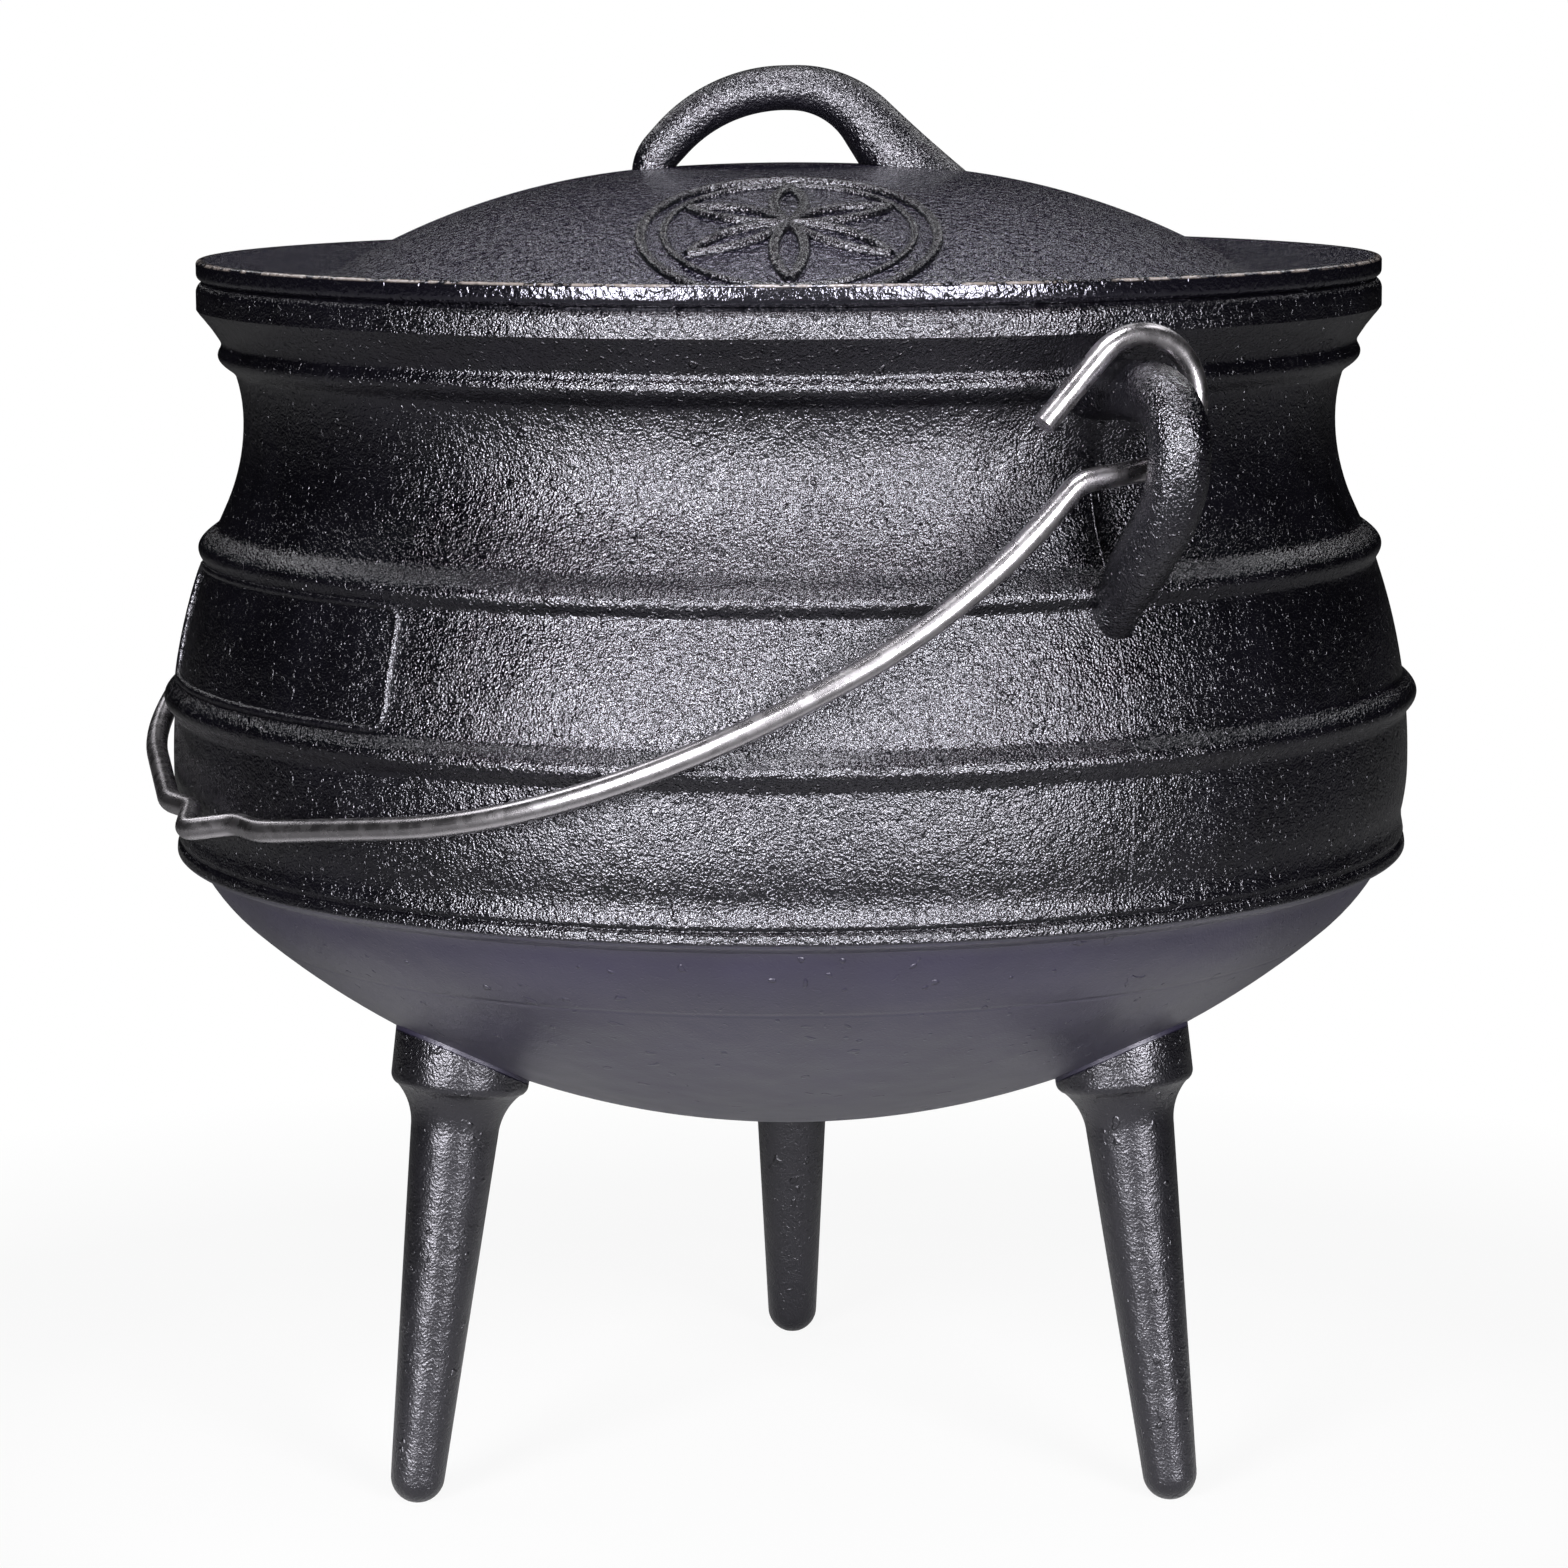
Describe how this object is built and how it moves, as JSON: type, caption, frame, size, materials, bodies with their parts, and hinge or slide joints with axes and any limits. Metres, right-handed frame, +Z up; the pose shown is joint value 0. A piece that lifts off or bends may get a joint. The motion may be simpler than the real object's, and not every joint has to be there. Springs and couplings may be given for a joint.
{
  "type": "three-legged cooking pot",
  "caption": "Cast iron cooking pot on splayed legs, with a round banded belly, side ears, a domed loose lid with a loop handle, and a steel wire bail hung in the ears.",
  "frame": {"origin": "on the pot's axis, in the ground plane under the three feet", "axes": "+Z up along the pot's axis; +X through one ear, so the ears and the bail's hinge lie along X; the bail hangs on the -Y side"},
  "size_m": [0.3206, 0.2907, 0.3146],
  "materials": {
    "pot_iron": "black satin coating over a coarse sand-cast skin",
    "lid_iron": "dark blue-grey satin coating over a fine sand-cast skin",
    "bail_steel": "bright drawn stainless wire"
  },
  "bodies": {
    "pot_body": {"pot": "pot_iron", "lid": "lid_iron"},
    "bail_body": {"bail": "bail_steel"}
  },
  "joints": [
    {"name": "bail_hinge", "type": "hinge", "parent": "pot_body", "child": "bail_body", "pos_m": [0, 0, 0.2484], "axis": [-1, 0, 0], "range_deg": [0, 245]}
  ]
}
